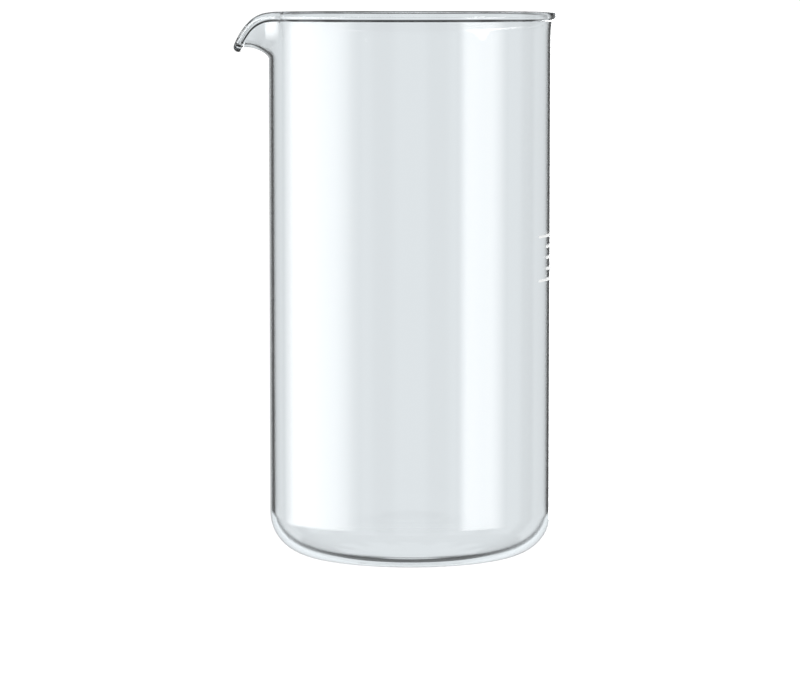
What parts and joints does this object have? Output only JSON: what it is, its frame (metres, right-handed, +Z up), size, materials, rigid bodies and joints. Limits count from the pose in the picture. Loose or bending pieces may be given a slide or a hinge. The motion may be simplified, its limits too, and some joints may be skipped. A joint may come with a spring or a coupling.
{
  "type": "coffee carafe",
  "caption": "Straight-walled clear glass coffee carafe with a rounded heel, a beaded rim, a pulled pouring lip and a ladder of enamel level marks.",
  "frame": {"origin": "middle of the flat underside, on the axis of the wall", "axes": "+Z up along the axis of the wall, -X towards the pouring lip, Y across"},
  "size_m": [0.1097, 0.0994, 0.1845],
  "materials": {
    "clear_glass": "fire-polished",
    "white_enamel": "satin"
  },
  "bodies": {
    "root": {"glass_beaker": "clear_glass", "level_mark_1": "white_enamel", "level_mark_2": "white_enamel", "level_mark_3": "white_enamel", "level_mark_4": "white_enamel", "level_mark_5": "white_enamel"}
  },
  "joints": []
}
